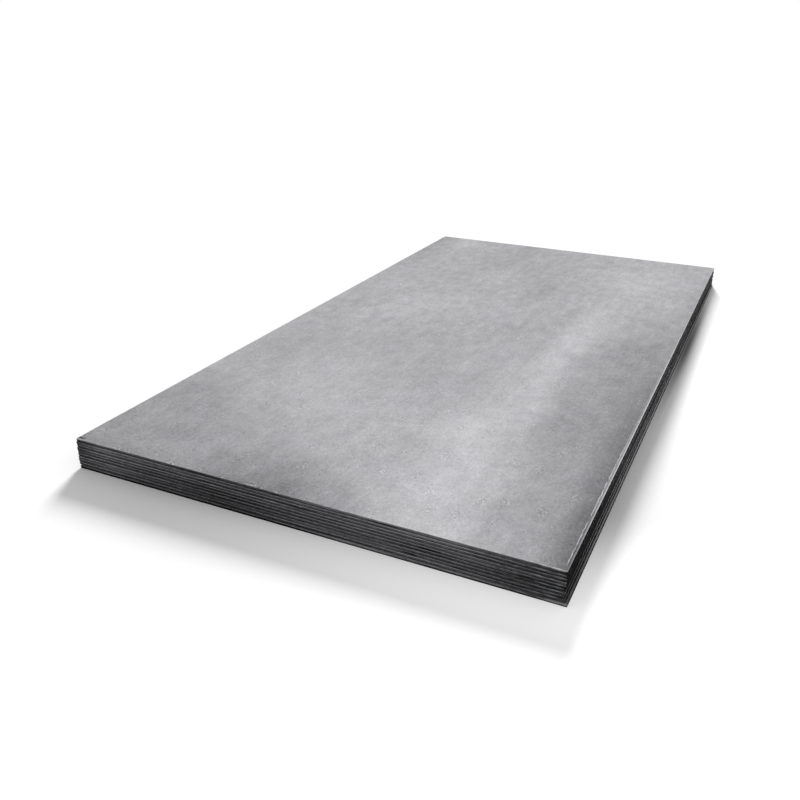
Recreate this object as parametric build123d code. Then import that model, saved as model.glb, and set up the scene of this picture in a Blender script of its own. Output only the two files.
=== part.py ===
from build123d import *
import os

# A pile of ten sheared steel plates, lying flat as they leave the stockyard.
# X runs across the plates, Y along the rolling direction and Z up, in millimetres.
# The origin is the middle of the pile's footprint, on the floor.

# Driving dimensions of one plate
plate_width = 1500.0
plate_length = 3000.0
plate_thickness = 9.0

# The guillotine's cut, the same on all four sides: the blade drew the upper edge down,
# cut an upright smooth band, and the rest broke away along a face that runs inwards
# to the sharp lower edge.
drawn_edge_radius = 1.6
smooth_band_depth = 3.4
broken_face_angle = 6.0  # degrees from upright
corner_radius = 2.5

# Driving dimensions of the pile
plate_count = 10
scale_gap = 0.5  # mill scale and slight unevenness hold two plates apart
lean_left = 0.25  # each plate lies this much further left than the one under it
lean_back = 0.3  # and this much further back

# How each plate slipped from that lean, from the lowest plate up:
# across, along, and turned anticlockwise in degrees.
plate_slips = [
    (5.4, -2.6, 0.065),
    (0.9, 0.4, 0.030),
    (-0.6, 0.9, -0.020),
    (0.7, -0.8, 0.015),
    (-0.9, 1.1, 0.010),
    (0.4, 0.6, -0.030),
    (-0.3, -1.0, 0.020),
    (0.8, 0.3, -0.015),
    (-0.5, -0.6, 0.010),
    (0.2, 0.8, -0.010),
]


def plate_outline(height):
    """The plate's plan, with its knocked corners, as a face at this height."""
    return Plane.XY.offset(height) * RectangleRounded(plate_width, plate_length, corner_radius)


def sheared_plate():
    """One plate with its lower face on Z = 0 and the cut's section all round it."""
    broken_depth = plate_thickness - smooth_band_depth
    outline = plate_outline(broken_depth)
    smooth_band = extrude(outline, amount=smooth_band_depth, dir=(0, 0, 1))
    broken_band = extrude(outline, amount=broken_depth, dir=(0, 0, -1), taper=broken_face_angle)
    plate = smooth_band + broken_band
    upper_edges = plate.faces().sort_by(Axis.Z)[-1].edges()
    return fillet(upper_edges, drawn_edge_radius)


def plate_place(layer):
    """Where the plate of this layer lies, counted from 0 at the floor."""
    across, along, turned = plate_slips[layer % len(plate_slips)]
    height = layer * (plate_thickness + scale_gap)
    return Pos(across - lean_left * layer, along + lean_back * layer, height) * Rot(0, 0, turned)


def pile():
    """Every plate in its place, with the pile's footprint centred on the origin."""
    plate = sheared_plate()
    plates = [plate_place(layer) * plate for layer in range(plate_count)]
    middle = Compound(plates).bounding_box().center()
    return [Pos(-middle.X, -middle.Y, 0) * placed for placed in plates]


os.makedirs("parts", exist_ok=True)
for number, placed in enumerate(pile(), start=1):
    export_step(placed, f"parts/plate_{number:02d}.step")
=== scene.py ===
import math

import bpy
import numpy as np
from mathutils import Matrix


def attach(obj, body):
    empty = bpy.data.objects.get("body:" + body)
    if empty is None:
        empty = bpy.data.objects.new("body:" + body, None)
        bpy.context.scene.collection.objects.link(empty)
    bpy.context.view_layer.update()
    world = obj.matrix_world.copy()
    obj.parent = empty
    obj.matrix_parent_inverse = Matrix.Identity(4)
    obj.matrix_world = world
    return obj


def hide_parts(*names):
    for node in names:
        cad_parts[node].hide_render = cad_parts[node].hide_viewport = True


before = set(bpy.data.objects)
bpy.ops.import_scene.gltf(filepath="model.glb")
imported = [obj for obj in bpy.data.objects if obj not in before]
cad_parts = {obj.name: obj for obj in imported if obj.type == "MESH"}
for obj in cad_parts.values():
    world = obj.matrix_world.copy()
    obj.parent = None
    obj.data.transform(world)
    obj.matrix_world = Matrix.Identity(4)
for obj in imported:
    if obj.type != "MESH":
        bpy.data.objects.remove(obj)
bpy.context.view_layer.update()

MM = 0.001

# Where the camera stood, in metres, how it was turned, in degrees, its lens and sensor in
# millimetres, its shift as a share of the picture's width, and how far it sees, in metres
camera_place = (1.0541, -3.1749, 1.2546)
camera_left_turn = 26.23
camera_down_tilt = 23.97
camera_roll = 0.505
camera_lens = 38.43
camera_sensor = 36.0
camera_shift = 0.04
camera_reach = 300.0

# The light: an even white sky and a soft low sun, given as the share of a level surface's light
# that it gives, its height, how far left of straight behind it stands, and its width in degrees
sky_strength = 0.53
back_sun = (0.535, 23.1, 20.0, 14.8)

# The floor: half its side in metres, and the share of the light that its paint throws back
floor_half = 100.0
floor_paint = 0.97

# Painted light: where the white floor glows to thin the shadow, off the near-right corner and along
# the right side: middle across and along, half sizes across and along, and how strongly it glows
# there
painted_light_on_floor = [
    (0.77, -1.50, 1.29, 0.51, 0.39),
    (0.89, 1.08, 0.122, 2.17, 0.68),
    (0.792, 1.30, 0.040, 1.14, 0.25),
]

# Painted shadow on the floor, in the corner along the foot of the right side: given the same way,
# and what share of the white the middle loses
painted_floor_shadow = (0.763, 0.50, 0.033, 1.02, 0.78)

# The sheared edge of a plate, and how much of its smooth band a knock leaves at least
drawn_radius = 1.6 * MM
smooth_depth = 3.4 * MM
least_smooth = 0.5 * MM
broken_slope = math.tan(math.radians(6.0))
corner_radius = 2.5 * MM

# Rows of points down the cut: how many round the drawn arris, and the shares of the way down the
# smooth band and down the torn band
arris_rows = 7
smooth_rows = (0.33, 0.67, 1.0)
torn_rows = (0.12, 0.3, 0.5, 0.7, 0.88, 1.0)

# The top plate's rolled face shows round its arris down to the first row past this angle, in
# degrees. The other plates' cut starts at the top of the arris.
face_round_arris = 36.0

# Unevenness round a plate: the fewest and most waves in it, and its size. The drawn arris, as a
# share of its radius, the border between the two bands, the level of the faces at the cut, the
# scores of the smooth band, the tears of the torn band, and the breaks in the welt, as a share of
# its height. Each is a sum of this many sines.
arris_waves = (20, 260, 0.10)
border_waves = (30, 300, 0.35 * MM)
level_waves = (4, 30, 0.05 * MM)
score_waves = (100, 340, 0.02 * MM)
tear_waves = (60, 340, 0.10 * MM)
welt_waves = (60, 300, 0.4)
ripple_sines = 24

# Long waves by which the rolled face sags: their lengths across and along, and the height of each
sag_lengths = ((0.9, 1.6), (0.55, 2.4), (1.4, 0.8))
sag_height = 0.05 * MM

# Knocks along the upper edges: how many small ones a plate has and how many crowd its near-right
# corner, with their half lengths and depths from least to most in millimetres, and how far from
# that corner they reach
small_bruises = 30
small_bruise_half = (4, 18)
small_bruise_depth = (0.1, 0.9)
corner_bruises = 5
corner_bruise_half = (3, 7)
corner_bruise_depth = (0.5, 1.5)
corner_bruise_reach = 80.0 * MM

# How deep a knock is that bares the steel in full, and how much of that shows where the face ends
full_knock = 1.4 * MM
knock_on_face = 0.3

# Knocks on the top plate's near edge: place across, half length and depth
near_edge_bruises = [
    (-0.742, 0.016, 1.4 * MM),
    (-0.550, 0.004, 1.0 * MM),
    (-0.128, 0.005, 1.0 * MM),
    (-0.040, 0.006, 1.2 * MM),
    (0.290, 0.050, 2.4 * MM),
    (0.728, 0.018, 1.4 * MM),
]

# The welt that a side guide rubbed along the top plate's right edge: how far in from the edge it
# lies, its half width and height, between which places along the edge it starts and is full, how
# far in from the edge its rows of points lie in millimetres, and how much nearer to a deep knock
# than half of that they may lie
welt_inset = 9.5 * MM
welt_half = 2.0 * MM
welt_height = 0.25 * MM
welt_start = (-0.50, -1.10)
welt_rows_in = (20.0, 18.0, 16.5, 15.0, 13.5, 12.0, 10.5, 9.0, 7.5, 6.0)
welt_row_room = 2.5 * MM

# How finely a plate is divided: steps across, along and round half a corner, the flat strip next
# to the arris, and how far in from the edge the even grid ends
across_steps = 112
along_steps = 226
corner_steps = 4
flat_rim = 1.2 * MM
grid_inset = 40.0 * MM

# From which angle in degrees an edge of the mesh shows sharp, and the seed of the lowest plate's
# random wear, which grows by 1 from plate to plate
sharp_angle = 50.0
first_seed = 40

# A plate's turn is looked for up to this many degrees either way, in this many tries
most_turn = 0.2
turn_tries = 401

# Where the top plate's rolled face and the near cut lie, in metres, and half sizes that let a
# patch reach through every height of the face and through the near cut alone
pile_top = 0.0945
near_cut = -1.5
any_height = 10.0
near_cut_half = 0.03

# Clouds of the rolled face: sizes across and along in metres, detail, and how strongly each moves
# the tone. Long clouds, mottle, the grain that pickling leaves, its finest part, and roll streaks.
# The real grain and pits are finer than 1 mm. They are drawn 5 to 16 mm wide so that they show,
# because a pixel covers 2.4 mm of the plate at its near-right corner and 6 mm at its far-left one.
face_clouds = [
    (0.20, 0.34, 3.0, 0.24),
    (0.050, 0.075, 3.0, 0.25),
    (0.010, 0.016, 3.0, 0.29),
    (0.005, 0.008, 2.0, 0.26),
    (0.010, 0.90, 2.0, 0.09),
]

# Broad lighter and darker patches of the rolled face: middle across and along, half sizes across
# and along, turn in degrees, and how much lighter the middle is. Their outlines drift by up to half
# of patch_drift either way, in waves of 1 / drift_scale metres.
face_patches = [
    (0.335, -1.08, 0.22, 0.98, 0.0, 0.25),
    (0.39, -0.05, 0.13, 1.10, 3.0, 0.16),
    (0.50, 0.95, 0.28, 0.95, 0.0, 0.12),
    (0.64, -0.50, 0.24, 1.20, 0.0, -0.19),
    (0.72, -0.05, 0.18, 0.80, 0.0, -0.08),
    (-0.12, -1.51, 0.39, 0.34, 0.0, -0.44),
    (-0.55, -1.25, 0.42, 0.55, 0.0, -0.18),
    (-0.62, -1.55, 0.36, 0.22, 0.0, -0.24),
    (-0.25, -0.86, 0.60, 0.60, 0.0, 0.11),
    (0.06, 0.70, 0.10, 0.60, 0.0, -0.09),
    (-0.22, 1.20, 0.26, 0.50, 0.0, -0.10),
    (-0.56, 1.42, 0.10, 0.12, 0.0, 0.12),
    (-0.28, 0.22, 0.42, 0.55, 0.0, 0.08),
    (-0.80, 1.20, 0.20, 0.60, 0.0, -0.22),
    (0.50, -0.68, 0.14, 0.28, 0.0, -0.09),
    (0.04, -0.62, 0.15, 0.28, 0.0, -0.06),
]
drift_scale = 3.0
patch_drift = (0.22, 0.35, 0.0)

# Marks with a firm place: middle across and along, half sizes across and along, and how much
# lighter the middle is. The dark margin of the right edge, then small ones
face_marks = [
    (0.80, -1.05, 0.18, 1.35, -0.62),
    (0.80, -1.60, 0.16, 0.90, -0.34),
    (0.78, 0.75, 0.14, 0.75, -0.16),
    (0.66, 0.12, 0.16, 0.45, -0.10),
    (-0.58, -1.45, 0.12, 0.10, 0.09),
    (-0.78, -1.36, 0.13, 0.22, -0.15),
    (0.47, -1.50, 0.14, 0.15, 0.12),
    (0.7375, -0.80, 0.0035, 0.09, 0.30),
    # A worn lip at the near-right corner of the top face, lighter with a painted highlight on it
    (0.732, -1.4975, 0.022, 0.004, 0.50),
    (-0.748, -1.485, 0.030, 0.010, -1.10),
    (-0.735, -1.498, 0.050, 0.007, 0.15),
    (-0.0406, -1.4928, 0.005, 0.007, -0.7),
]

# Spots left by scale: their spacing, how far from the middle they are full and where they end, in
# metres, and in what share of the places there is one. Clusters of pits, in places scaled so that
# they are drawn out along the plate, then single spots
pit_clusters = (0.10, 0.006, 0.022, 0.85)
pit_scale = (1.0, 0.6, 1.0)
dark_spots = (0.065, 0.001, 0.0045, 0.3)
pale_spots = (0.09, 0.001, 0.005, 0.25)

# Finer clouds of the face, as size across, along and up in metres, and detail: the pits' own grit,
# where pits crowd, a coarser cloud that shows far off, where the near edge is chipped, where the
# painted highlight line along the welt breaks up, how it wanders, and where the steel tends to
# violet. Last, how widely the line wanders
grit_cloud = ((0.005, 0.008, 0.005), 2.0)
crowd_cloud = ((0.11, 0.16, 0.11), 1.0)
coarse_cloud = ((0.030, 0.070, 0.030), 3.0)
chip_cloud = ((0.06, 0.03, 0.06), 2.0)
break_cloud = ((0.015, 0.04, 0.02), 3.0)
wander_cloud = ((0.015, 0.025, 0.02), 3.0)
violet_cloud = ((0.16, 0.22, 0.16), 2.0)
line_wander = 6.0 * MM

# Between which values of those clouds they start to count and count in full
crowd_shows = (-0.42, 0.06)
chip_shows = (-0.04, 0.10)
break_shows = (-0.12, 0.02)
violet_shows = (-0.25, 0.25)

# Places along or across the face, or distances from the edge, where a detail starts to show and
# where it shows in full. Distances from the edge are less than 0 on the face.
coarse_along = (-0.9, 0.9)
chip_along = (-1.44, -1.47)
chip_across = (0.15, -0.05)
chip_from_edge = (-28.0 * MM, -6.0 * MM)
right_margin = (0.70, 0.72)
rub_end = (-1.48, -1.45)
polish_near = (-1.42, -1.00)
polish_far = (0.10, -0.60)
rubbed_strip = (-welt_inset - 0.8 * MM, -welt_inset + 0.8 * MM)
# Where the painted shade beside the welt shows along the plate
welt_shade_along = (-1.15, -1.40)
arris_near = (-1.45, -1.25)
arris_far = (0.9, -0.3)
# Where the painted highlight along the right edge's arris, and the thin painted highlight line on
# the arris, reach
arris_highlight_reach = (-5.0 * MM, -1.5 * MM)
thin_arris = (-1.6 * MM, 0.4 * MM)

# The light line along the welt, painted as its highlight, and the painted shade in the hollow
# outside it, as distance from the edge and half width
welt_highlight_line = (-welt_inset, 1.8 * MM)
welt_shade_line = (-welt_inset + 2 * welt_half, 1.6 * MM)

# Marks on the near cut: middle across and up, half sizes across and up, and how much lighter the
# middle is. Five broad ones through the pile's whole height, then small ones
cut_marks = [
    (-0.72, 0.0470, 0.280, 0.1500, 0.14),
    (-0.20, 0.0470, 0.280, 0.1500, -0.15),
    (0.22, 0.0470, 0.240, 0.1500, 0.01),
    (0.72, 0.0470, 0.280, 0.1500, -0.14),
    (-0.755, 0.0470, 0.120, 0.1500, -0.36),
    (0.400, 0.0500, 0.045, 0.0042, -0.55),
    (0.350, 0.0235, 0.040, 0.0042, -0.60),
    (0.480, 0.0210, 0.030, 0.0036, -0.45),
    (0.025, 0.0650, 0.050, 0.0025, -0.45),
    (0.028, 0.0715, 0.009, 0.0030, 0.45),
    (0.735, 0.0040, 0.100, 0.0060, 0.55),
]

# Clouds of the cut: sizes in metres, detail, and how strongly each moves the tone. Fine streaks
# along the edge, a tone that changes slowly along it and from plate to plate, and short scars. The
# blade's real streaks and scars are finer than 1 mm, and are drawn 2 to 4.5 mm high to show.
cut_clouds = [
    ((0.200, 0.200, 0.0020), 3.0, 0.80),
    ((0.800, 0.800, 0.0130), 1.0, 0.70),
    ((0.014, 0.014, 0.0045), 2.0, 0.66),
]

# Finer clouds of the cut: where a painted highlight on a ridge shows half way down the torn band,
# the painted highlights in dashes next to the near-right corner, and how bare steel breaks up at a
# knock, the last two drawn as coarse as the streaks for the same reason
ridge_cloud = ((0.15, 0.15, 0.006), 2.0)
ridge_shows = (-0.04, 0.14)
dash_highlight_cloud = ((0.030, 0.030, 0.0030), 2.0)
knock_cloud = ((0.004, 0.004, 0.002), 2.0)
knock_breaks = 1.2

# Distances down the cut from the edge of the rolled face: the burnished stripe and the painted
# highlight of the torn ridge as middle and half width, and where the dark rim, the torn band and
# the underside start to show and show in full
burnished_stripe = (2.2 * MM, 1.3 * MM)
torn_ridge_highlight = (6.6 * MM, 1.2 * MM)
dark_rim = (3.6 * MM, 1.8 * MM)
torn_band = (3.8 * MM, 5.0 * MM)
underside = (8.2 * MM, 9.4 * MM)

# Heights above the floor where a tone starts to show and where it shows in full: the painted shadow
# at the foot of the pile, its darker part on the left, and the painted shade on the lowest plates
# of the right side. Then the middle and half width of the stripe of painted light on that side
painted_foot_shadow = (5.0 * MM, 2.5 * MM)
painted_left_foot_shadow = (8.0 * MM, 5.0 * MM)
painted_shade_low_plates = (22.0 * MM, 8.0 * MM)
painted_light_stripe = (26.0 * MM, 26.0 * MM)

# Places across and along the cut where a tone starts to show and where it shows in full
left_part = (0.20, -0.10)
ridge_across = (0.75, 0.69)
right_cut = (0.735, 0.745)
past_corner = (-1.499, -1.492)
near_third = (-0.75, -1.35)
near_corner = (-1.33, -1.43)
far_half = (0.0, 1.2)
past_near_end = (-1.35, -0.95)
dash_highlights_across = (0.48, 0.71)
on_near_cut = (-1.490, -1.497)

# Tones of the rolled face and of the cut, from dark to light, at even steps up to a tone of 1 from
# the lowest one
rolled_lowest = -0.5
rolled_tones = ["#444446", "#5E5E60", "#78787A", "#929294", "#ACACAE", "#C7C7C9", "#E1E1E3"]
cut_lowest = -0.25
cut_tones = ["#0B0B0C", "#1B1B1C", "#353536", "#535355", "#707073", "#929295"]

plates = sorted(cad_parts)
top_plate = plates[-1]


def linear(code):
    """An sRGB hex colour as linear red, green, blue and 1: each share s becomes
    ((s + 0.055) / 1.055) to the power 2.4, or s / 12.92 where s is small."""
    shares = [int(code[i:i + 2], 16) / 255 for i in (1, 3, 5)]
    return (*(s / 12.92 if s <= 0.04045 else ((s + 0.055) / 1.055) ** 2.4 for s in shares), 1.0)


white = linear("#FFFFFF")
black = linear("#000000")


def add(tree, kind, sockets=None, **settings):
    """Adds a node to the tree, with its settings, and sets or links each input named in sockets."""
    made = tree.nodes.new(kind)
    for name, value in settings.items():
        setattr(made, name, value)
    for name, value in (sockets or {}).items():
        if isinstance(value, bpy.types.Node):
            value = next(out for out in value.outputs if out.enabled)
        if isinstance(value, bpy.types.NodeSocket):
            tree.links.new(value, made.inputs[name])
        else:
            made.inputs[name].default_value = value
    return made


# Shapes


def plate_lie(node):
    """Middle, turn, width, length and heights of a plate, read off its solid: turned back by
    the angle at which its box is smallest, its corners give its width and length."""
    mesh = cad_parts[node].data
    points = np.empty(len(mesh.vertices) * 3, np.float32)
    mesh.vertices.foreach_get("co", points)
    x, y, z = points.astype(float).reshape(-1, 3).T
    turns = np.radians(np.linspace(-most_turn, most_turn, turn_tries))[:, None]
    across = x * np.cos(turns) + y * np.sin(turns)
    along = y * np.cos(turns) - x * np.sin(turns)
    best = np.argmin(np.ptp(across, axis=1) * np.ptp(along, axis=1))
    turn = turns[best, 0]
    middle_across = (across[best].max() + across[best].min()) / 2
    middle_along = (along[best].max() + along[best].min()) / 2
    middle = (
        middle_across * math.cos(turn) - middle_along * math.sin(turn),
        middle_across * math.sin(turn) + middle_along * math.cos(turn),
    )
    return middle, turn, np.ptp(across[best]), np.ptp(along[best]), z.min(), z.max()


def side_lines(side, steps):
    """Places along one side: the tangents of equal angles near each corner, so that they fan
    round its arc, and even steps between. Gives the grid's places, the outline's, and how far
    the outline drops back at each: the radius times 1 less the cosine round the corner's arc."""
    angles = np.radians(np.linspace(45, 0, corner_steps + 1))[:-1]
    fanned = corner_radius * (1 - np.tan(angles))
    half = side / 2 - grid_inset
    even = np.linspace(-half + corner_radius, half - corner_radius, steps + 1)
    grid = np.concatenate([-half + fanned, even, half - fanned[::-1]])
    straight = np.linspace(-side / 2 + corner_radius, side / 2 - corner_radius, steps + 1)
    turned = corner_radius * (1 - np.sin(angles))
    outline = np.concatenate([-side / 2 + turned, straight, side / 2 - turned[::-1]])
    drop = np.zeros(len(outline))
    drop[:corner_steps] = corner_radius * (1 - np.cos(angles))
    drop[-corner_steps:] = drop[:corner_steps][::-1]
    return grid, outline, drop


def plate_outline(width, length):
    """The rounded rectangle, once round from the near-left corner, with the grid index of each
    point's partner on the grid's border."""
    grid_x, line_x, drop_x = side_lines(width, across_steps)
    grid_y, line_y, drop_y = side_lines(length, along_steps)
    near = np.stack([line_x, drop_x - length / 2], 1)
    right = np.stack([width / 2 - drop_y, line_y], 1)
    far = np.stack([line_x, length / 2 - drop_x], 1)[::-1]
    left = np.stack([drop_y - width / 2, line_y], 1)[::-1]
    points = np.concatenate([side[:-1] for side in (near, right, far, left)])
    index = np.arange(len(grid_x) * len(grid_y)).reshape(len(grid_y), len(grid_x))
    border = np.concatenate([index[0, :-1], index[:-1, -1], index[-1, :0:-1], index[:0:-1, 0]])
    return grid_x, grid_y, points, border


def ripple(share, fewest, most, random):
    """A smooth unevenness round a closed line: a sum of sines with whole numbers of waves
    between the fewest and the most and random starts, scaled to a spread of 1."""
    waves = random.integers(fewest, most + 1, ripple_sines)[:, None]
    starts = random.uniform(0, 2 * math.pi, ripple_sines)[:, None]
    return np.sin(2 * math.pi * waves * share + starts).sum(0) / math.sqrt(ripple_sines / 2)


def swayed(share, waves, random):
    """An unevenness both ways from 0: its size times a ripple."""
    fewest, most, size = waves
    return size * ripple(share, fewest, most, random)


def sunken(share, waves, random):
    """An unevenness one way, from 0 to twice its size: its size times the sum of 1 and the
    hyperbolic tangent of a ripple."""
    fewest, most, size = waves
    return size * (1 + np.tanh(ripple(share, fewest, most, random)))


def edge_wear(node, points, run, random):
    """How much further the upper edge is knocked down at each point of the outline: a sum of
    bell curves, at random places round every plate, crowded along the near side next to the
    right corner, and at the top plate's own bruises."""
    wear = np.zeros(len(points))
    for middle in random.uniform(0, run[-1], small_bruises):
        half = random.uniform(*small_bruise_half) * MM
        depth = random.uniform(*small_bruise_depth) * MM
        wear += depth * np.exp(-((run[:-1] - middle) / half) ** 2)
    near_side = points[:, 1] < points[:, 1].min() + corner_radius
    right_end = points[:, 0].max()
    for middle in right_end - random.uniform(0, 1, corner_bruises) * corner_bruise_reach:
        half = random.uniform(*corner_bruise_half) * MM
        depth = random.uniform(*corner_bruise_depth) * MM
        wear += near_side * depth * np.exp(-((points[:, 0] - middle) / half) ** 2)
    if node == top_plate:
        for middle, half, depth in near_edge_bruises:
            wear += near_side * depth * np.exp(-((points[:, 0] - middle) / half) ** 2)
    return wear


def edge_section(points, thickness, node, random):
    """The cut's section carried round the outline, as rows of (inset, height, distance down
    from the rolled face's edge, knock, whether the cut lies below): a quarter round, an upright
    smooth band, a torn band that runs inwards at its slope, and a sharp lower edge."""
    steps = np.roll(points, -1, axis=0) - points
    run = np.concatenate([[0], np.cumsum(np.linalg.norm(steps, axis=1))])
    share = run[:-1] / run[-1]
    zero = np.zeros(len(points))
    wear = edge_wear(node, points, run, random)
    knock = np.clip(wear / full_knock, 0, 1)
    radius = drawn_radius * (1 + swayed(share, arris_waves, random)) + wear
    border = thickness - smooth_depth + swayed(share, border_waves, random)
    top = thickness - sunken(share, level_waves, random)
    bottom = sunken(share, level_waves, random)
    face_until = math.radians(face_round_arris) if node == top_plate else -1.0
    rows = [(radius + flat_rim, top, zero - flat_rim, knock * knock_on_face, False)]
    for angle in np.radians(np.linspace(0, 90, arris_rows)):
        inset = radius * (1 - math.sin(angle))
        height = top - radius * (1 - math.cos(angle))
        rows.append((inset, height, radius * angle, knock, angle > face_until))
    start = np.maximum(top - radius, border + least_smooth)
    rounded = radius * math.pi / 2
    for part in smooth_rows:
        height = start + (border - start) * part
        inset = sunken(share, score_waves, random)
        rows.append((inset, height, rounded + start - height, knock * (1 - part), True))
    for part in torn_rows:
        height = border + (bottom - border) * part
        inset = broken_slope * (border - height) + sunken(share, tear_waves, random)
        rows.append((inset, height, rounded + start - height, zero, part < 1))
    inset, height, down, _, _ = rows[-1]
    rows.append((inset + flat_rim, bottom, down + flat_rim, zero, False))
    return rows


def welt_rows(points, rim_inset, thickness, random):
    """The rubbed welt beside the top plate's right edge, as rows between the grid's border and
    the rim: a hump at the welt and a hollow on its outer side, both bell curves of the distance
    from the edge, along the right side only, fading at the far end and broken up by a ripple.
    Where a deep knock takes its room, a row moves in to the rim's inset plus half its own, less
    welt_row_room."""
    share = np.linspace(0, 1, len(points), endpoint=False)
    along = points[:, 1]
    right_side = points[:, 0] > points[:, 0].max() - 0.1 * MM
    fading = np.clip((along - welt_start[0]) / (welt_start[1] - welt_start[0]), 0, 1)
    fewest, most, broken = welt_waves
    unbroken = 1 - broken + broken * np.tanh(2 * ripple(share, fewest, most, random))
    strength = right_side * fading * unbroken
    rows = []
    for nominal in welt_rows_in:
        inset = np.maximum(nominal * MM, rim_inset + 0.5 * nominal * MM - welt_row_room)
        hump = np.exp(-((inset - welt_inset) / welt_half) ** 2)
        hollow = np.exp(-((inset - welt_inset + 2 * welt_half) / welt_half) ** 2)
        height = thickness - welt_height + welt_height * strength * (hump - hollow)
        rows.append((inset, height, -inset, np.zeros(len(points)), False))
    return rows


def sheet_sag(x, y, random):
    """How far the rolled face lies under its highest level: a sum of a few long sine waves that
    cross each other, each from 0 to twice its height."""
    sag = np.zeros(np.broadcast(x, y).shape)
    for length_x, length_y in sag_lengths:
        start_x, start_y = random.uniform(0, 2 * math.pi, 2)
        wave_x = np.sin(2 * math.pi * x / length_x + start_x)
        wave_y = np.sin(2 * math.pi * y / length_y + start_y)
        sag += 1 + wave_x * wave_y
    return sag_height * sag


def steel_plate(node, seed):
    """One plate as a closed mesh: the section's rows carried round the outline, a fine grid
    on the top plate and a flat face on the others inside the upper row, and a flat face below.
    A row's points lie on the lines from the outline to the grid's border, as far along them as
    the row's inset is a share of the grid's."""
    random = np.random.default_rng(seed)
    middle, turn, width, length, low, high = plate_lie(node)
    thickness = high - low
    grid_x, grid_y, points, border = plate_outline(width, length)
    rows = edge_section(points, thickness, node, random)
    if node == top_plate:
        rows = welt_rows(points, rows[0][0], thickness, random) + rows
    count = len(points)
    inner = np.stack(np.meshgrid(grid_x, grid_y), 2).reshape(-1, 2)
    face = np.column_stack([inner, thickness - sheet_sag(inner[:, 0], inner[:, 1], random)])
    underside_ring = np.column_stack([inner[border], np.zeros(count)])
    inward = (inner[border] - points) / grid_inset
    rings = [np.column_stack([points + inward * row[0][:, None], row[1]]) for row in rows]
    rings.append(underside_ring)
    downs = [row[2] for row in rows] + [np.full(count, grid_inset)]
    knocks = [row[3] for row in rows] + [np.zeros(count)]
    cuts = [False] + [row[4] for row in rows]
    if node != top_plate:
        face = face[border]
        border = np.arange(count)
    lines = [border]
    lines += [len(face) + count * number + np.arange(count) for number in range(len(rings))]
    bands = [np.stack([upper, lower, np.roll(lower, -1), np.roll(upper, -1)], 1)
             for upper, lower in zip(lines[:-1], lines[1:])]
    finish_numbers = [np.full(count, int(cut)) for cut in cuts]
    caps = [lines[-1][::-1]]
    if node == top_plate:
        index = np.arange(len(face)).reshape(len(grid_y), len(grid_x))
        corners = [index[:-1, :-1], index[:-1, 1:], index[1:, 1:], index[1:, :-1]]
        bands.append(np.stack([corner.ravel() for corner in corners], 1))
        finish_numbers.append(np.zeros(len(bands[-1]), int))
    else:
        caps.append(lines[0])
    points = np.concatenate([face] + rings)
    x = points[:, 0] * math.cos(turn) - points[:, 1] * math.sin(turn) + middle[0]
    y = points[:, 0] * math.sin(turn) + points[:, 1] * math.cos(turn) + middle[1]
    placed = np.column_stack([x, y, points[:, 2] + low])
    finish_numbers = np.concatenate(finish_numbers + [np.zeros(len(caps), int)])
    values = {
        "from_edge": np.concatenate([np.full(len(face), -grid_inset)] + downs),
        "knock": np.concatenate([np.zeros(len(face))] + knocks),
    }
    quads = np.concatenate(bands)
    return closed_mesh(node + "_rolled", placed, quads, caps, finish_numbers, values)


def closed_mesh(name, vertices, quads, caps, finish_numbers, values):
    """Puts whole arrays into a mesh object: vertices, four-sided faces, then the flat faces,
    with the number of each face's finish and the named values on each vertex."""
    mesh = bpy.data.meshes.new(name)
    mesh.vertices.add(len(vertices))
    mesh.vertices.foreach_set("co", vertices.astype(np.float32).ravel())
    corners = np.concatenate([quads.ravel()] + caps)
    sizes = np.concatenate([np.full(len(quads), 4), [len(cap) for cap in caps]])
    starts = np.concatenate([[0], np.cumsum(sizes)[:-1]])
    mesh.loops.add(len(corners))
    mesh.loops.foreach_set("vertex_index", corners.astype(np.int32))
    mesh.polygons.add(len(sizes))
    mesh.polygons.foreach_set("loop_start", starts.astype(np.int32))
    mesh.polygons.foreach_set("material_index", finish_numbers.astype(np.int32))
    mesh.update(calc_edges=True)
    mesh.validate()
    for value, numbers in values.items():
        attribute = mesh.attributes.new(value, "FLOAT", "POINT")
        attribute.data.foreach_set("value", numbers.astype(np.float32))
    mesh.shade_smooth()
    mesh.set_sharp_from_angle(angle=math.radians(sharp_angle))
    made = bpy.data.objects.new(name, mesh)
    bpy.context.scene.collection.objects.link(made)
    return made


# Finishes


def start_material(name):
    """An empty node material with its output, and the place on the object in metres."""
    material = bpy.data.materials.new(name)
    material.use_nodes = True
    tree = material.node_tree
    tree.nodes.clear()
    place = add(tree, "ShaderNodeTexCoord").outputs["Object"]
    return material, tree, place


def measured(tree, place):
    """How far across, along and up a point of a plate lies, and how far down the cut it is from
    the edge of the rolled face, less than 0 on the face itself, all in metres."""
    parts = add(tree, "ShaderNodeSeparateXYZ", {"Vector": place}).outputs
    from_edge = add(tree, "ShaderNodeAttribute", attribute_name="from_edge").outputs["Fac"]
    return parts["X"], parts["Y"], parts["Z"], from_edge


def region(tree, *limits):
    """How far a point lies within all the limits: their product. A limit is a value, or a number
    with where it starts to count and where it counts in full, as a smooth step between."""
    inside = None
    for limit in limits:
        if isinstance(limit, tuple):
            number, start, full = limit
            limit = add(tree, "ShaderNodeMapRange",
                        {"Value": number, "From Min": start, "From Max": full},
                        interpolation_type="SMOOTHSTEP").outputs["Result"]
        if inside is not None:
            limit = add(tree, "ShaderNodeMath", {0: inside, 1: limit}, operation="MULTIPLY")
        inside = limit
    return inside


def layered(tree, start, layers):
    """A tone made of layers: the start, plus each layer's value times how strongly it counts."""
    tone = start
    for value, strength in layers:
        tone = add(tree, "ShaderNodeMath", {0: value, 1: strength, 2: tone},
                   operation="MULTIPLY_ADD")
    return tone


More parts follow.
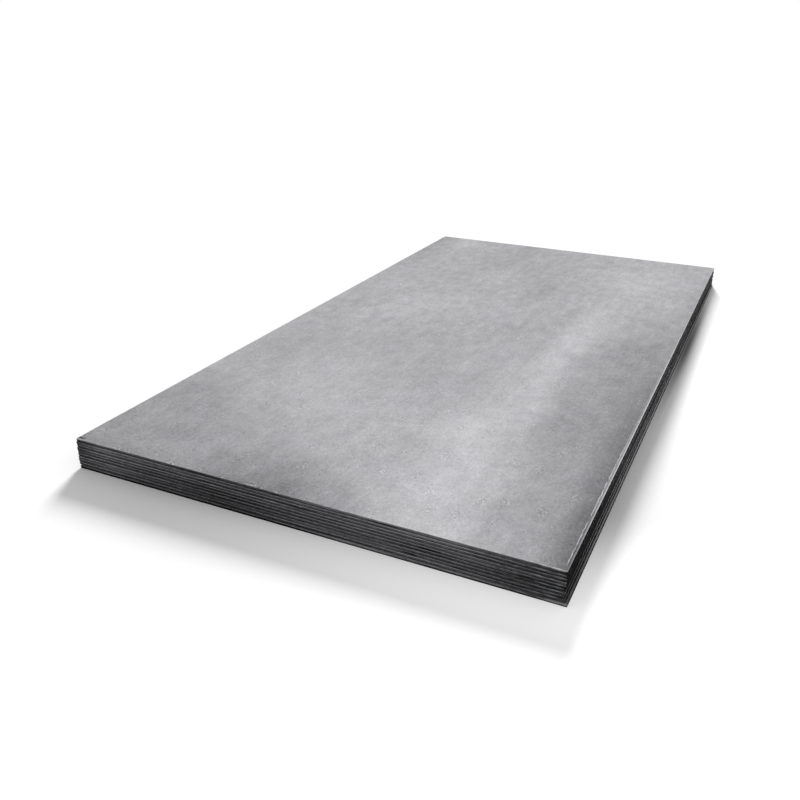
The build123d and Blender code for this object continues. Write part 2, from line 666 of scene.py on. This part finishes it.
def stripe(tree, number, middle, half):
    """A smooth stripe along the points where a number has its middle value: 1 there, and 0 from
    half away on either side."""
    away = add(tree, "ShaderNodeMath", {0: number, 1: middle}, operation="SUBTRACT")
    away = add(tree, "ShaderNodeMath", {0: away}, operation="ABSOLUTE")
    return add(tree, "ShaderNodeMapRange",
               {"Value": away, "From Max": half, "To Min": 1.0, "To Max": 0.0},
               interpolation_type="SMOOTHSTEP").outputs["Result"]


def patch(tree, place, middle, half, turn=0.0):
    """A smooth oval patch: the length of the place as seen from its middle, turned and in its own
    half sizes, gives 1 at the middle and 0 from the border on."""
    own = add(tree, "ShaderNodeMapping",
              {"Vector": place, "Location": middle, "Scale": half,
               "Rotation": (0.0, 0.0, math.radians(turn))}, vector_type="TEXTURE")
    length = add(tree, "ShaderNodeVectorMath", {0: own.outputs["Vector"]}, operation="LENGTH")
    return add(tree, "ShaderNodeMapRange",
               {"Value": length.outputs["Value"], "To Min": 1.0, "To Max": 0.0},
               interpolation_type="SMOOTHSTEP").outputs["Result"]


def cloud(tree, place, size, detail):
    """A cloudy pattern of the given size along each axis in metres, centred on 0."""
    spread = add(tree, "ShaderNodeMapping",
                 {"Vector": place, "Scale": tuple(1 / side for side in size)})
    noise = add(tree, "ShaderNodeTexNoise",
                {"Vector": spread, "Scale": 1.0, "Detail": detail, "Roughness": 0.55})
    return add(tree, "ShaderNodeMath", {0: noise.outputs["Fac"], 1: 0.5}, operation="SUBTRACT")


def spots(tree, place, spacing, inner, outer, kept):
    """Round spots scattered over the sheet, one to a cell of the given spacing, smooth between
    the inner and outer distance from the cell's seed, in the kept share of the cells."""
    cells = add(tree, "ShaderNodeTexVoronoi", {"Vector": place, "Scale": 1 / spacing},
                voronoi_dimensions="2D")
    chance = add(tree, "ShaderNodeSeparateColor", {"Color": cells.outputs["Color"]})
    chosen = add(tree, "ShaderNodeMath", {0: chance.outputs["Red"], 1: kept},
                 operation="LESS_THAN")
    return region(tree, (cells.outputs["Distance"], outer / spacing, inner / spacing), chosen)


def toned_colour(tree, tone, lowest, codes):
    """The colour of each tone: the codes stand at even steps from the lowest tone to 1."""
    share = layered(tree, -lowest / (1 - lowest), [(tone, 1 / (1 - lowest))])
    made = add(tree, "ShaderNodeValToRGB", {"Fac": share})
    stops = made.color_ramp.elements
    while len(stops) < len(codes):
        stops.new(0.5)
    for number, code in enumerate(codes):
        stops[number].position = number / (len(codes) - 1)
        stops[number].color = linear(code)
    return made.outputs["Color"]


def bared(tree, place, colour, code, strength):
    """The colour with bare steel showing, broken up, where the edge has been knocked."""
    knock = add(tree, "ShaderNodeAttribute", attribute_name="knock").outputs["Fac"]
    broken = layered(tree, 1.0, [(cloud(tree, place, *knock_cloud), knock_breaks)])
    share = add(tree, "ShaderNodeMath", {0: region(tree, knock, broken), 1: strength},
                operation="MULTIPLY", use_clamp=True)
    return add(tree, "ShaderNodeMix", {0: share, 6: colour, 7: linear(code)},
               data_type="RGBA").outputs[2]


def rolled_face():
    """Hot-rolled plate, pickled and lightly oiled: a soft grey sheen with long cloudy patches,
    mottle, faint streaks along the rolling direction and clusters of small pits left by scale."""
    material, tree, place = start_material("hot_rolled_pickled_face")
    across, along, _, from_edge = measured(tree, place)

    clouds = [(cloud(tree, place, (wide, long, wide), detail), strength)
              for wide, long, detail, strength in face_clouds]
    mottle = layered(tree, 0.0, clouds)
    drift = add(tree, "ShaderNodeTexNoise", {"Vector": place, "Scale": drift_scale, "Detail": 3.0})
    drift = add(tree, "ShaderNodeVectorMath", {0: drift.outputs["Color"], 1: (0.5, 0.5, 0.5)},
                operation="SUBTRACT")
    drifted = add(tree, "ShaderNodeVectorMath",
                  {0: drift.outputs["Vector"], 1: patch_drift, 2: place},
                  operation="MULTIPLY_ADD").outputs["Vector"]
    patches = [(patch(tree, drifted, (x, y, pile_top), (half_x, half_y, any_height), turn), light)
               for x, y, half_x, half_y, turn, light in face_patches]
    marks = [(patch(tree, place, (x, y, pile_top), (half_x, half_y, any_height)), light)
             for x, y, half_x, half_y, light in face_marks]

    # Pits and spots
    grit = cloud(tree, place, *grit_cloud)
    drawn_out = add(tree, "ShaderNodeMapping", {"Vector": place, "Scale": pit_scale})
    clusters = spots(tree, drawn_out.outputs["Vector"], *pit_clusters)
    crowded = region(tree, (cloud(tree, place, *crowd_cloud), *crowd_shows))
    coarse = cloud(tree, place, *coarse_cloud)
    scale_marks = [
        (region(tree, grit, clusters, crowded), 0.95),
        (region(tree, coarse, (along, *coarse_along)), 0.36),
        (spots(tree, place, *dark_spots), -0.18),
        (spots(tree, drifted, *pale_spots), 0.14),
    ]

    # The chipped near edge, the polished strip on the right, the light line along the welt painted
    # as its highlight with painted shade in the hollow beside it, and painted highlights on the
    # arris
    chipped = region(tree, (along, *chip_along), (from_edge, *chip_from_edge),
                     (across, *chip_across), (cloud(tree, place, *chip_cloud), *chip_shows))
    right_side = region(tree, (across, *right_margin))
    broken = region(tree, (cloud(tree, place, *break_cloud), *break_shows))
    rubbed = region(tree, right_side, (along, *welt_start), (along, *rub_end))
    from_line = layered(tree, from_edge, [(cloud(tree, place, *wander_cloud), line_wander)])
    polished = region(tree, right_side, (along, *polish_near), (along, *polish_far))
    strip = region(tree, (from_line, *rubbed_strip))
    # The welt's light line is a painted highlight, and the line outside it is painted shade
    line = stripe(tree, from_line, *welt_highlight_line)
    welt_shade = stripe(tree, from_line, *welt_shade_line)
    # Painted highlights on the arris: a band along the right edge, and a thin line there and,
    # fainter, round the whole face
    arris_highlight = region(tree, right_side, (from_edge, *arris_highlight_reach), (along, *arris_near),
                    (along, *arris_far))
    arris = region(tree, (from_edge, *thin_arris))
    edge_marks = [
        (region(tree, grit, chipped), 2.4),
        (region(tree, rubbed, strip), 0.05),
        (region(tree, polished, strip), 0.22),
        (region(tree, rubbed, line, broken), 0.90),
        (region(tree, rubbed, welt_shade, broken, (along, *welt_shade_along)), -0.60),
        (arris_highlight, 0.32),
        (region(tree, arris, right_side), 0.25),
        (region(tree, arris, broken), 0.08),
    ]

    tone = layered(tree, 0.50, clouds + patches + marks + scale_marks + edge_marks)
    colour = toned_colour(tree, tone, rolled_lowest, rolled_tones)
    violet = region(tree, (cloud(tree, place, *violet_cloud), *violet_shows))
    colour = add(tree, "ShaderNodeMix", {0: violet, 6: colour, 7: linear("#FEFCFF")},
                 data_type="RGBA", blend_type="MULTIPLY").outputs[2]
    colour = bared(tree, place, colour, "#C6C7C9", 0.8)
    roughness = add(tree, "ShaderNodeMapRange",
                    {"Value": mottle, "From Min": -0.15, "From Max": 0.15,
                     "To Min": 0.58, "To Max": 0.44})
    relief = add(tree, "ShaderNodeBump", {"Height": tone, "Distance": 0.3 * MM, "Strength": 0.6})
    shader = add(tree, "ShaderNodeBsdfPrincipled",
                 {"Base Color": colour, "Metallic": 0.7, "Roughness": roughness,
                  "Normal": relief})
    add(tree, "ShaderNodeOutputMaterial", {"Surface": shader})
    return material


def sheared_edge():
    """The guillotine's cut, dark with oxide: streaks along the edge, a paler burnished stripe under
    the arris, a rough torn band below it, and bare steel where it was knocked. The right side has
    painted shade that makes it darker than the others, most of all at both ends and at its foot,
    and a stripe of painted light. The pile's foot has a painted shadow, and painted highlights lie
    on a ridge of the torn band and in dashes by the near-right corner."""
    material, tree, place = start_material("sheared_oxidised_edge")
    across, along, up, from_edge = measured(tree, place)

    clouds = [(cloud(tree, place, size, detail), strength)
              for size, detail, strength in cut_clouds]
    torn = region(tree, (from_edge, *torn_band))
    below = region(tree, (from_edge, *underside))
    ridge_highlight = region(tree, (cloud(tree, place, *ridge_cloud), *ridge_shows),
                   (across, *ridge_across))
    bands = [
        (torn, -0.12),
        (stripe(tree, from_edge, *burnished_stripe), 0.32),
        # Painted highlight on a ridge of the torn band
        (region(tree, stripe(tree, from_edge, *torn_ridge_highlight), ridge_highlight), 0.46),
        # The underside band of each cut, darker with dirt and with painted shade in the gap between
        # plates
        (below, -0.55),
    ]
    marks = [(patch(tree, place, (x, near_cut, z), (half_x, near_cut_half, half_z)), light)
             for x, z, half_x, half_z, light in cut_marks]

    # The right side, which gets painted shade and a stripe of painted light
    right_side = region(tree, (across, *right_cut), (along, *past_corner))
    near_end = region(tree, (along, *near_third))
    near_right = region(tree, (across, *dash_highlights_across), (along, *on_near_cut))
    rim = region(tree, (from_edge, *dark_rim))
    painted_light_band = stripe(tree, up, *painted_light_stripe)
    sides = [
        # Painted shadow along the pile's foot, deeper on the left
        (region(tree, (up, *painted_foot_shadow)), -0.45),
        (region(tree, (up, *painted_left_foot_shadow), (across, *left_part)), -0.60),
        # Painted shade over the right side, deepest at its ends and on its lowest plates, with a
        # stripe of painted light
        (right_side, -0.22),
        (region(tree, right_side, near_end), -0.28),
        (region(tree, right_side, (along, *near_corner)), -0.45),
        (region(tree, right_side, (along, *far_half)), -0.42),
        (region(tree, right_side, painted_light_band, (along, *past_near_end)), 0.14),
        (region(tree, right_side, (up, *painted_shade_low_plates)), -0.35),
        (region(tree, right_side, near_end, rim), -0.30),
        # Painted highlights in dashes by the near-right corner
        (region(tree, near_right, cloud(tree, place, *dash_highlight_cloud)), 0.9),
        (region(tree, near_right, rim), -0.34),
        (region(tree, near_right, below), 0.40),
    ]

    tone = layered(tree, 0.54, clouds + bands + marks + sides)
    colour = toned_colour(tree, tone, cut_lowest, cut_tones)
    colour = bared(tree, place, colour, "#9C9DA0", 0.32)
    roughness = add(tree, "ShaderNodeMapRange", {"Value": torn, "To Min": 0.42, "To Max": 0.66})
    relief = add(tree, "ShaderNodeBump", {"Height": tone, "Distance": 0.25 * MM, "Strength": 0.7})
    shader = add(tree, "ShaderNodeBsdfPrincipled",
                 {"Base Color": colour, "Metallic": 0.85, "Roughness": roughness,
                  "Specular Tint": linear("#3C3C3E"), "Normal": relief})
    add(tree, "ShaderNodeOutputMaterial", {"Surface": shader})
    return material


# The studio


def seen_rays(tree):
    """1 for the rays that show a surface, straight or by a sheen, and 0 for those that light it."""
    rays = add(tree, "ShaderNodeLightPath").outputs
    seen = add(tree, "ShaderNodeMath", {0: rays["Is Camera Ray"], 1: rays["Is Glossy Ray"]},
               operation="MAXIMUM")
    return add(tree, "ShaderNodeMath", {0: seen, 1: rays["Is Transmission Ray"]},
               operation="MAXIMUM")


def photo_camera():
    """The camera where the photo was taken from: it looks along +Y, is turned left, tilted down,
    then rolled."""
    camera_data = bpy.data.cameras.new("camera")
    camera_data.sensor_width = camera_sensor
    camera_data.lens = camera_lens
    camera_data.shift_x = camera_shift
    camera_data.clip_end = camera_reach
    left = Matrix.Rotation(math.radians(camera_left_turn), 4, "Z")
    down = Matrix.Rotation(math.radians(90 - camera_down_tilt), 4, "X")
    roll = Matrix.Rotation(math.radians(camera_roll), 4, "Z")
    camera = bpy.data.objects.new("camera", camera_data)
    camera.matrix_world = Matrix.Translation(camera_place) @ left @ down @ roll
    bpy.context.scene.collection.objects.link(camera)
    bpy.context.scene.camera = camera


def soft_sun(name, share, height, side, width):
    """A wide sun that gives a level surface this share of its light: the share times pi, over the
    sine of its height. It stands where the camera would see it mirrored, so it leaves out the
    sheen, which comes from the sky."""
    light = bpy.data.lights.new(name, "SUN")
    light.angle = math.radians(width)
    light.energy = share * math.pi / math.sin(math.radians(height))
    sun = bpy.data.objects.new(name, light)
    sun.rotation_euler = (math.radians(90 - height), 0.0, math.radians(180 + side))
    sun.visible_glossy = False
    bpy.context.scene.collection.objects.link(sun)


def even_sky():
    """A sky of one white all over: dimmer for the rays that light the scene, and plain white where
    it shows."""
    world = bpy.data.worlds.new("even_sky")
    world.use_nodes = True
    tree = world.node_tree
    tree.nodes.clear()
    seen = seen_rays(tree)
    dim = add(tree, "ShaderNodeBackground", {"Color": white, "Strength": sky_strength})
    plain = add(tree, "ShaderNodeBackground", {"Color": white, "Strength": 1.0})
    both = add(tree, "ShaderNodeMixShader", {"Fac": seen, 1: dim, 2: plain})
    add(tree, "ShaderNodeOutputWorld", {"Surface": both})
    bpy.context.scene.world = world


def white_floor():
    """A wide floor in dull white paint, with a painted shadow along the foot of the right side. It
    glows as painted light that thins its shadow, but only for the rays that show it."""
    near, far = -floor_half, floor_half
    mesh = bpy.data.meshes.new("floor")
    mesh.from_pydata([(near, near, 0), (far, near, 0), (far, far, 0), (near, far, 0)], [],
                     [(0, 1, 2, 3)])
    floor = bpy.data.objects.new("floor", mesh)
    bpy.context.scene.collection.objects.link(floor)
    material, tree, place = start_material("white_floor")
    # The painted shadow along the foot of the right side
    x, y, half_x, half_y, share = painted_floor_shadow
    darker = region(tree, patch(tree, place, (x, y, 0.0), (half_x, half_y, 1.0)), share)
    painted = (floor_paint, floor_paint, floor_paint, 1.0)
    colour = add(tree, "ShaderNodeMix", {0: darker, 6: painted, 7: black}, data_type="RGBA")
    paint = add(tree, "ShaderNodeBsdfDiffuse", {"Color": colour.outputs[2]})
    # Painted light: the floor's glow that thins the shadow
    paler = layered(tree, 0.0, [
        (patch(tree, place, (x, y, 0.0), (half_x, half_y, 1.0)), light)
        for x, y, half_x, half_y, light in painted_light_on_floor])
    shown = region(tree, paler, seen_rays(tree))
    glow = add(tree, "ShaderNodeEmission", {"Color": white, "Strength": shown})
    surface = add(tree, "ShaderNodeAddShader", {0: paint, 1: glow})
    add(tree, "ShaderNodeOutputMaterial", {"Surface": surface})
    mesh.materials.append(material)


finishes = [rolled_face(), sheared_edge()]
for layer, node in enumerate(plates):
    plate = steel_plate(node, first_seed + layer)
    for finish in finishes:
        plate.data.materials.append(finish)
    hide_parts(node)
    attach(plate, "root")

photo_camera()
soft_sun("back_sun", *back_sun)
even_sky()
white_floor()
bpy.context.scene.view_settings.view_transform = "Standard"
